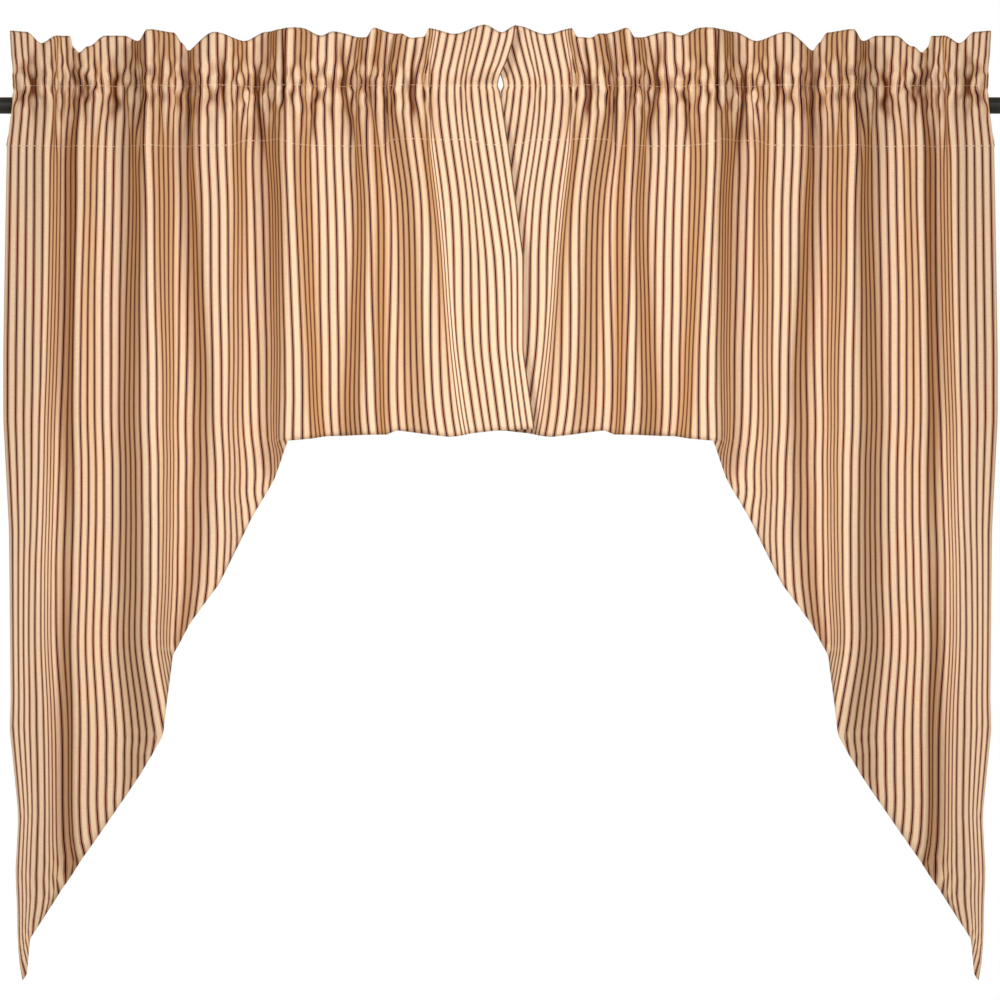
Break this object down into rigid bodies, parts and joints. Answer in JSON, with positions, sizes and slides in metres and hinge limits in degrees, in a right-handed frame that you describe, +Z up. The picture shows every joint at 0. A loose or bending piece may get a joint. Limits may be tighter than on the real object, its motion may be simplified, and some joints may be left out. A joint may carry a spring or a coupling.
{
  "type": "window swag on a curtain rod",
  "caption": "Gathered swag of striped ticking on a plain round rod: a ruffled header, short in the middle, with a long pointed tail at each side.",
  "frame": {"origin": "on the rod's axis at the middle of the window", "axes": "+X along the rod to the viewer's right, +Y from the cloth's front towards the wall, +Z up"},
  "size_m": [1.04, 0.062, 0.9183],
  "materials": {
    "ticking_left": "matte woven cotton, cream with narrow wine stripes",
    "ticking_right": "matte woven cotton, cream with narrow wine stripes",
    "rod_metal": "satin near-black paint"
  },
  "bodies": {
    "root": {"panel_left": "ticking_left", "panel_right": "ticking_right", "rod": "rod_metal"}
  },
  "joints": []
}
